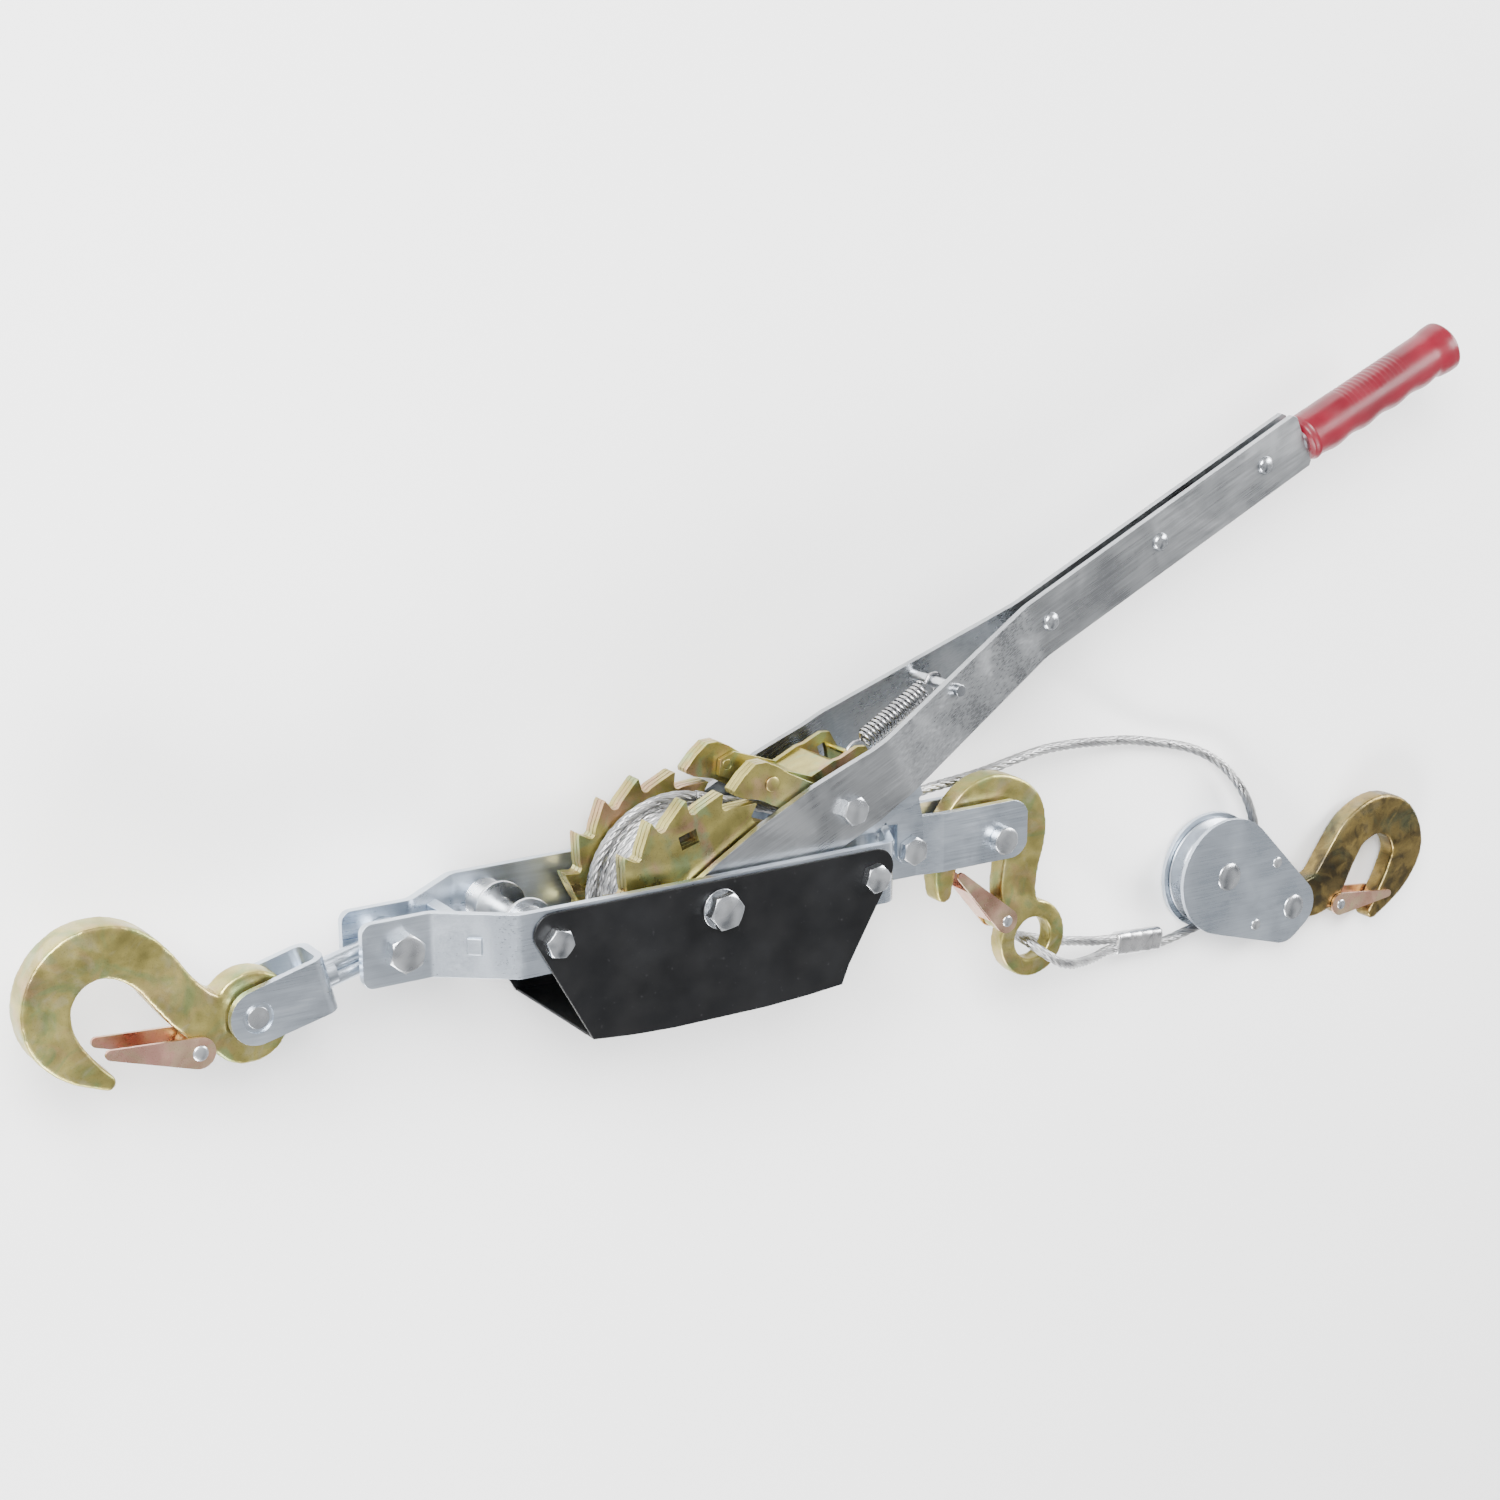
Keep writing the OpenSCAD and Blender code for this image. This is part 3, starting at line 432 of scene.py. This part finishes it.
def dress(mesh, look):
    """Gives the whole mesh one look and smooth shading."""
    mesh.materials.clear()
    mesh.materials.append(LOOKS[look])
    mesh.polygons.foreach_set("use_smooth", [True] * len(mesh.polygons))


def drop(mesh, *names):
    """Removes those of the CAD mesh's attributes that would undo the smooth shading."""
    for name in names:
        if name in mesh.attributes:
            mesh.attributes.remove(mesh.attributes[name])


def build(name, points, faces, look, uvs=None):
    mesh = bpy.data.meshes.new(name)
    mesh.from_pydata([tuple(p) for p in points], [], faces)
    if uvs is not None:
        layer = mesh.uv_layers.new(name="UVMap")
        for loop, uv in zip(layer.data, uvs):
            loop.uv = uv
    dress(mesh, look)
    mesh.update()
    return linked(name, mesh)


def lofted(rings):
    """Points and faces between rings of equal size, with one flat face over each end."""
    count, size = len(rings), len(rings[0])
    faces = [(i * size + j, i * size + (j + 1) % size, (i + 1) * size + (j + 1) % size,
              (i + 1) * size + j) for i in range(count - 1) for j in range(size)]
    faces.append(tuple(range(size))[::-1])
    faces.append(tuple(range((count - 1) * size, count * size)))
    return np.concatenate(rings), faces


def wire(name, line, radius, look, sides=10):
    """A plain round wire along a line of points."""
    n, b = normals_along(line)
    spin = np.linspace(0, 2 * math.pi, sides, endpoint=False)
    rings = [ring_at(centre, radius, spin, (n[i], b[i])) for i, centre in enumerate(line)]
    points, faces = lofted(rings)
    return build(name, points, faces, look)


def stranded(name, line, runs):
    """A rope of strands along the line; runs is the distance along it to each point."""
    count = STRANDS * STRAND_POINTS
    n, b = normals_along(line)
    around = np.arange(count) * 2 * math.pi / count
    half = math.pi / STRANDS
    within = (around + half) % (2 * half) - half
    inside = np.minimum(STRAND_RADIUS**2, (STRAND_AT * np.sin(within))**2)
    reach = STRAND_AT * np.cos(within) + np.sqrt(STRAND_RADIUS**2 - inside)
    reach = reach / reach.max() * ROPE_D / 2 * MM
    rings = []
    for i, centre in enumerate(line):
        spin = around + 2 * math.pi * runs[i] / (LAY * MM)
        rings.append(ring_at(centre, reach[:, None], spin, (n[i], b[i])))
    points, faces = lofted(rings)
    uvs = []
    for i in range(len(line) - 1):
        for j in range(count):
            v0, v1 = j / count, (j + 1) / count
            uvs += [(runs[i], v0), (runs[i], v1), (runs[i + 1], v1), (runs[i + 1], v0)]
    uvs += [(0, 0)] * (2 * count)
    return build(name, points, faces, "rope_wire", uvs)


def finished(name, body, made, node):
    """Names a piece and has it stand for the CAD node."""
    made.name = name
    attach(made, body)
    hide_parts(node)
    return made


def added(body, made):
    """A piece beside the CAD nodes, that stands for none of them."""
    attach(made, body)


# ---------- Rope ----------

# The free rope's middle line, as points for at()
ROUTE = [
    (12, 43.2, -3), (30, 37.5, -3), (48, 32, -3), (64, 27, -3), (80, 22.8, -3), (96, 20.3, -3),
    (112, 19.4, -3), (128, 20, -4), (142, 21.4, -6.5), (154, 22, -10), (166, 22.4, -12),
    (180, 23.2, -13), (196, 24.6, -14), (212, 26.4, -16), (228, 27.4, -19), (243, 27.2, -23),
    (258, 25.8, -27), (272, 24, -31), (286, 21.6, -35), (300, 19.4, -38.5), (314, 17, -41.5),
    (329, 13.6, -43), (345, 9.6, -43.5), (360, 5, -43), (373, -1.4, -42), (384, -9.4, -41),
    (393, -19, -40), (400, -30, -39.2), (405, -42, -39), (407.8, -54, -39), (408.5, -63, -39),
    (408.5, -71, -39), (407.4, -78.6, -39), (404.2, -85.8, -39), (399.2, -91.7, -39),
    (392.7, -96, -39), (385.2, -98.3, -39), (376, -99.2, -39), (366, -100.6, -39),
    (356, -102.4, -38.9), (346, -104, -38.4), (336, -104.2, -37.3), (317, -101.4, -33.9),
    (298.6, -98.7, -30.5), (289, -97.4, -26.5), (277, -96, -19.5), (265, -93.4, -12),
    (253, -90, -4), (242, -86.4, 3.6), (231, -81.8, 8.6), (222, -76.2, 9.8), (215.8, -71.4, 7.6),
    (212.4, -68, 3), (211.8, -67, -2), (213.8, -68, -7), (219.4, -70.4, -10.6),
    (228, -73.6, -12.8), (240, -77.6, -15), (253, -81.6, -18), (266, -85.2, -21.6),
    (279, -89, -25.6), (290, -91.4, -28.8), (299.4, -92.9, -30.5), (318, -95.6, -33.9),
    (337.4, -98.5, -37.5),
]
# Where the ferrule starts and ends, as points for at()
FERRULE_ENDS = [(299, -95.8, -30.5), (336, -101.3, -37.3)]
# Distance between the cross sections of the free rope, and of the wound one
ROPE_STEP, WINDING_STEP = 1.2 * MM, 1.6 * MM
# Radius to the middle of the rope in the layer on the drum, and in the turn over it
WINDING_RADIUS, LEAD_RADIUS = 38.3, 44.4


def add_rope():
    """One length from the drum round the sheave, through the hook's eye, to its end."""
    line, runs = resampled([at(*p) for p in ROUTE], ROPE_STEP)
    ferrule = finished("pressed_ferrule", "frame", ferrule_shape(), "ferrule")
    rope = finished("stranded_rope", "frame", stranded("rope", line, runs), "wire_rope")


def ferrule_shape():
    """An oval sleeve pressed round both strands, with the press's bands across it."""
    radius, half_apart, square = 4.15, 2.95, 3
    bands, band_depth = 4, 0.22
    lip, lip_length = 0.9, 1.6
    start, end = (np.array(at(*p)) for p in FERRULE_ENDS)
    way = unit(end - start)
    side = unit(np.array([0, 1.0, 0]) - way * way[1])
    up = np.cross(way, side)
    long = np.linalg.norm(end - start)
    rings = []
    for u in np.linspace(0, 1, 75):
        press = band_depth * abs(math.sin(u * math.pi * bands)) ** 0.6
        from_end = min(u, 1 - u) * long / MM
        r = radius - press - lip * max(0, 1 - from_end / lip_length) ** 2
        ring = []
        for a in np.linspace(0, 2 * math.pi, 48, endpoint=False):
            c, s = math.cos(a), math.sin(a)
            across = half_apart * math.tanh(square * c) + r * c
            ring.append(start + way * u * long + (side * across + up * r * s) * MM)
        rings.append(np.array(ring))
    points, faces = lofted(rings)
    return build("ferrule_sleeve", points, faces, "ferrule_aluminium")


def add_winding():
    """Turns side by side on the drum, and the last turn over them that leads to the free rope."""
    half, turns, turns_across = 14.4, 5.9, 5.4
    line = []
    for a in np.arange(0, turns * 360, 2.2):
        s = -half + min(2 * half, a / 360 * (2 * half / turns_across))
        line.append(round_axle(a, WINDING_RADIUS, s))
    coil = stranded("winding", *resampled(line, WINDING_STEP))
    lead = [round_axle(*p) for p in lead_points()]
    added("drum", stranded("winding_lead", *resampled(lead, WINDING_STEP)))
    finished("wound_rope", "drum", coil, "rope_winding")
    core_half, core_radius = 16.9, 36.4
    middle = np.array([at(0, 0, s) for s in (-core_half, 0, core_half)])
    added("drum", wire("winding_core", middle, core_radius * MM, "rope_wire", 96))


def lead_points():
    """Angle, radius and height of the last turn, back from where the rope leaves the drum."""
    leaves_at, leaves_s, fall = 75.2, -3, 8
    sinks_from, sinks_over = 170, 90
    found = []
    for back in np.arange(0, 262, 6):
        sink = (LEAD_RADIUS - WINDING_RADIUS) * smooth((back - sinks_from) / sinks_over)
        found.append((leaves_at + back, LEAD_RADIUS - sink, leaves_s - fall * min(1, back / 200)))
    return found


# ---------- Handle ----------

# Length of the grip, its front's distance along the handle, and its offset across it
GRIP_LENGTH, GRIP_AT, GRIP_OFFSET = 112.0, 432.0, -2.5
# Angle by which the grip drops below the handle's line, in degrees
GRIP_DROP = 2.0
# Start and end of the fine ribs, from the front of the grip
RIBS_FROM, RIBS_TO = 30, 76


def along_handle(x, y, s):
    """A point along the handle, across it and up, in millimetres from the axle."""
    c, d = math.cos(math.radians(HANDLE_ANGLE)), math.sin(math.radians(HANDLE_ANGLE))
    return at(x * c - y * d, x * d + y * c, s)


def grip_radius(d, a):
    """Radius of the grip at d millimetres from its front and angle a round it."""
    below, above = max(0.0, -math.sin(a)), max(0.0, math.sin(a))
    flare, back_round = 0.9 * smooth((d - 96) / 10), 2.6 * smooth((d - 108.5) / 3.5) ** 2
    front_round = 2.2 * (1 - smooth(d / 3.2))
    finger, finger_pitch = 1.5, 23
    hollow = finger * (0.5 + 0.5 * math.cos(2 * math.pi * (d - 6) / finger_pitch)) * below ** 1.5
    hollow *= smooth((100 - d) / 5) * smooth(d / 5)
    rib, rib_pitch = 0.34, 3.1
    rib *= abs(math.sin(math.pi * (d - RIBS_FROM) / rib_pitch)) * smooth(above * 3 - 1.2)
    rib *= smooth((d - RIBS_FROM) / 3) * smooth((RIBS_TO - d) / 3)
    return 13.3 + flare - back_round - front_round + 0.7 * below - hollow - rib


def add_grip():
    """A vinyl sleeve with finger hollows below, fine ribs above and a flared end."""
    rings = []
    for u in np.linspace(0, 1, 200):
        d = u * GRIP_LENGTH
        y = GRIP_OFFSET - d * math.tan(math.radians(GRIP_DROP))
        ring = []
        for a in np.linspace(0, 2 * math.pi, 72, endpoint=False):
            r = grip_radius(d, a)
            ring.append(along_handle(GRIP_AT + d, y + r * math.sin(a), r * 0.95 * math.cos(a)))
        rings.append(np.array(ring))
    points, faces = lofted(rings)
    made = build("grip_sleeve", points, faces, "red_vinyl")
    finished("vinyl_grip", "handle", made, "grip")


def add_spring():
    """A close coil with a hook at each end, from the pawl carrier's pin to the handle's stud."""
    start, end = np.array(at(103, 54, 0)), np.array(at(151, 82, 0))
    way = unit(end - start)
    side = np.array([0, 0, 1.0])
    up = np.cross(way, side)
    radius, wire_radius, turns, hook = 4.7, 0.9, 17, 7.0
    coil = np.linalg.norm(end - start) / MM - 2 * hook

    def spot(origin, along, rise, out=0.0):
        return origin + (way * along + up * rise + side * out) * MM

    line = [spot(start, -3.0, 2.2), spot(start, -4.4, 0, 0.4), spot(start, -3.2, -2.2),
            spot(start, 1.5, -2.6), spot(start, 5.0, -1.2)]
    for a in np.linspace(0, turns * 2 * math.pi, turns * 20):
        along = hook + coil * a / (turns * 2 * math.pi)
        line.append(spot(start, along, -radius * math.cos(a), radius * math.sin(a)))
    line += [spot(end, -4.6, -2.0), spot(end, -1.0, -4.1), spot(end, 3.3, -2.6),
             spot(end, 4.2, 0.6), spot(end, 1.6, 3.9), spot(end, -2.4, 3.4)]
    fine, _ = resampled(line, 1.0 * MM)
    made = wire("coil", fine, wire_radius * MM, "spring_wire")
    finished("coil_spring", "handle", made, "pawl_spring")


# ---------- Forged hooks ----------


def add_forged(node, body, look, voxel):
    """The CAD hook with every edge rounded, as the forging dies leave it."""
    made = linked("forging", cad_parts[node].data.copy())
    weld = made.modifiers.new("weld", "WELD")
    weld.merge_threshold = 0.02 * MM
    remesh = made.modifiers.new("remesh", "REMESH")
    remesh.mode, remesh.voxel_size, remesh.use_smooth_shade = "VOXEL", voxel * MM, True
    soft = made.modifiers.new("soft", "SMOOTH")
    soft.factor, soft.iterations = 0.5, 14
    bpy.context.view_layer.update()
    graph = bpy.context.evaluated_depsgraph_get()
    mesh = bpy.data.meshes.new_from_object(made.evaluated_get(graph))
    made.modifiers.clear()
    made.data = mesh
    drop(mesh, "custom_normal", "sharp_edge", "sharp_face")
    dress(mesh, look)
    finished(node + "_forging", body, made, node)


# ---------- Laminated plates and threads ----------

# Sheets in each wheel and pawl arm, and the gap drawn between two of them
PLIES, PLY_GAP = 3, 0.35 * MM
# Heights between which a pawl arm lies, either side of the middle plane
ARM_SIDE = (17.8, 26.8)

# Bolt, its nut, their body, its places from the axle, its radius and its pitch
THREADS = [("main_bolt", "main_nut", "frame", [(0, 0)], 5, 1.5),
           ("guard_bolts", "guard_nuts", "frame", [(-88, 0), (88, 0)], 4, 1.25),
           ("swivel_bolt", "swivel_nut", "frame", [(-153, 0)], 5, 1.5),
           ("stop_bolt", "stop_nut", "frame", [(125.2, 2.2)], 4, 1.25),
           ("pawl_bolt", "pawl_nut", "handle", [(80, 34)], 4, 1.25)]


def add_laminated(node, body, look):
    """The CAD plate as sheets with fine gaps, on either side of the middle plane."""
    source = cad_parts[node].data
    points = np.array([v.co for v in source.vertices], float)
    faces = [tuple(face.vertices) for face in source.polygons]
    sheets, sheet_faces = [], []
    for i in range(PLIES):
        sheet = points.copy()
        for side in (points[:, 2] > AXLE.z, points[:, 2] < AXLE.z):
            if not side.any():
                continue
            low, high = points[side, 2].min(), points[side, 2].max()
            t = (high - low) / PLIES
            sheet[side, 2] = low + i * t + (points[side, 2] - low) * (t - PLY_GAP) / (high - low)
        sheets.append(sheet)
        sheet_faces += [tuple(v + i * len(points) for v in face) for face in faces]
    made = build(node + "_sheets", np.concatenate(sheets), sheet_faces, look)
    soften(made, 0.32)
    finished(node + "_plies", body, made, node)


def add_threads():
    """A thread on the end of each bolt that stands out of its nut."""
    for bolt, nut, body, places, radius, pitch in THREADS:
        start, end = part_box(bolt)[0].z + 0.5 * MM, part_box(nut)[0].z + 0.4 * MM
        for i, (x, y) in enumerate(places):
            rings = [thread_ring(at(x, y, 0), z, radius, pitch)
                     for z in np.arange(start, end, pitch * MM / 8)]
            points, faces = lofted(rings)
            added(body, build(f"{bolt}_thread_{i}", points, faces, "bright_pin"))


def thread_ring(centre, z, radius, pitch):
    """Section of a thread at height z, its crest part of the way round."""
    ring = []
    for a in np.linspace(0, 2 * math.pi, 36, endpoint=False):
        wave = math.cos(2 * math.pi * (z / (pitch * MM)) - a)
        r = (radius + 0.05 + 0.3 * max(0.0, wave)) * MM
        ring.append((centre.x + r * math.cos(a), centre.y + r * math.sin(a), z))
    return np.array(ring)


# ---------- CAD parts with a finish ----------

# Look: the record's slot, how far the edges are rounded in millimetres, and the CAD nodes
FINISHES = {
    "zinc_plate": ("zinc_plate", 0.45, ["near_side_plate", "far_side_plate", "cross_member",
                                        "swivel_eye", "clevis", "near_cheek", "far_cheek",
                                        "stop_pawl"]),
    "sheave_zinc": ("zinc_plate", 0.4, ["drum_core", "sheave"]),
    "zinc_bolt": ("zinc_bolt", 0.35, ["guard_bolts", "guard_nuts", "main_bolt", "main_washers",
                                      "main_nut", "spacer_spools", "hook_pin", "swivel_bolt",
                                      "swivel_nut", "stop_bolt", "stop_spacers", "stop_nut",
                                      "pawl_bolt", "pawl_nut"]),
    "bright_pin": ("zinc_bolt", 0.3, ["handle_rivets", "spring_stud", "clevis_pin",
                                      "anchor_latch_pin", "cable_latch_pin", "block_latch_pin",
                                      "block_spacers", "sheave_axle", "hook_rivet"]),
    "handle_steel": ("handle_steel", 0.45, ["near_handle_plate", "far_handle_plate",
                                            "handle_core"]),
    "carrier_chromate": ("yellow_chromate", 0.4, ["pawl_carrier", "pawl_rivets"]),
    "latch_sheet": ("latch_sheet", 0.25, ["anchor_latch", "cable_latch", "block_latch"]),
    "black_paint": ("black_paint", 0.5, ["near_guard_panel", "far_guard_panel", "guard_floor"]),
}


def seams_between(low, high):
    """Heights of the seams in a stack of sheets."""
    return [low + (high - low) * i / PLIES for i in range(1, PLIES)]


def add_looks():
    gold = ((0.24, 0.21, 0.07), (0.36, 0.31, 0.1), (0.46, 0.4, 0.14), (0.42, 0.37, 0.2))
    brown = ((0.07, 0.055, 0.03), (0.16, 0.12, 0.05), (0.3, 0.22, 0.08), (0.24, 0.2, 0.12))
    peach = ((0.46, 0.25, 0.18), (0.6, 0.36, 0.26), (0.7, 0.48, 0.34), (0.56, 0.46, 0.24))
    wheel_seams = []
    for node in ("near_wheel", "far_wheel"):
        low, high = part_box(node)
        wheel_seams += seams_between(low.z, high.z)
    arm_seams = [at(0, 0, side * s).z for side in (-1, 1) for s in seams_between(*ARM_SIDE)]
    return {
        "zinc_plate": zinc("zinc_plate", (0.4, 0.45, 0.52), (0.62, 0.68, 0.75), 0.3),
        "sheave_zinc": zinc("sheave_zinc", (0.34, 0.37, 0.41), (0.55, 0.59, 0.64), 0.3),
        "wheel_chromate": chromate("wheel_chromate", gold,
                                   [((0.5, 0.27, 0.2), 0.6), ((0.24, 0.38, 0.2), 0.5)],
                                   0.32, 0.012, wheel_seams),
        "handle_steel": zinc("handle_steel", (0.24, 0.25, 0.265), (0.46, 0.475, 0.49), 0.3,
                             HANDLE_ANGLE, 1.4),
        "zinc_bolt": bolt_zinc("zinc_bolt", at(0, 0, -18).z),
        "bright_pin": bolt_zinc("bright_pin"),
        "carrier_chromate": chromate("carrier_chromate", gold,
                                     [((0.5, 0.26, 0.22), 0.6), ((0.24, 0.4, 0.22), 0.5)],
                                     0.34, 0.015, arm_seams),
        "yellow_chromate": chromate("yellow_chromate", gold,
                                    [((0.46, 0.27, 0.16), 0.5), ((0.2, 0.3, 0.13), 0.6),
                                     ((0.5, 0.46, 0.3), 0.35)], 0.36),
        "dark_chromate": chromate("dark_chromate", brown,
                                  [((0.1, 0.13, 0.08), 0.6), ((0.42, 0.3, 0.1), 0.6),
                                   ((0.03, 0.03, 0.03), 0.55)], 0.32),
        "latch_sheet": chromate("latch_sheet", peach,
                                [((0.66, 0.3, 0.28), 0.5), ((0.44, 0.5, 0.24), 0.35)],
                                0.3, 0.008),
        "black_paint": black_paint(),
        "red_vinyl": red_vinyl(),
        "rope_wire": rope_wire(),
        "spring_wire": spring_wire(),
        "ferrule_aluminium": ferrule_aluminium(),
    }


def add_finish(node, look, edge):
    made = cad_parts[node]
    drop(made.data, "custom_normal")
    dress(made.data, look)
    soften(made, edge)


def soften(made, edge):
    """Rounds every sharp edge by edge millimetres, once the flat faces are whole."""
    flat_angle, sharp_angle = math.radians(0.4), math.radians(34)
    weld = made.modifiers.new("weld", "WELD")
    weld.merge_threshold = 0.01 * MM
    flat = made.modifiers.new("flat", "DECIMATE")
    flat.decimate_type, flat.angle_limit = "DISSOLVE", flat_angle
    bevel = made.modifiers.new("edge", "BEVEL")
    bevel.width, bevel.segments, bevel.harden_normals = edge * MM, 2, True
    bevel.limit_method, bevel.angle_limit = "ANGLE", sharp_angle


add_camera()
LOOKS = add_looks()
add_rope()
add_winding()
add_grip()
add_spring()
add_forged("anchor_hook", "anchor", "yellow_chromate", 1.0)
add_forged("cable_hook", "cable_end", "yellow_chromate", 0.9)
add_forged("block_hook", "load", "dark_chromate", 0.9)
add_laminated("near_wheel", "drum", "wheel_chromate")
add_laminated("far_wheel", "drum", "wheel_chromate")
add_laminated("pawl_arms", "drive_pawl", "carrier_chromate")
add_threads()
for look, (slot, edge, nodes) in FINISHES.items():
    for node in nodes:
        add_finish(node, look, edge)
add_floor()
add_lights()
add_world()
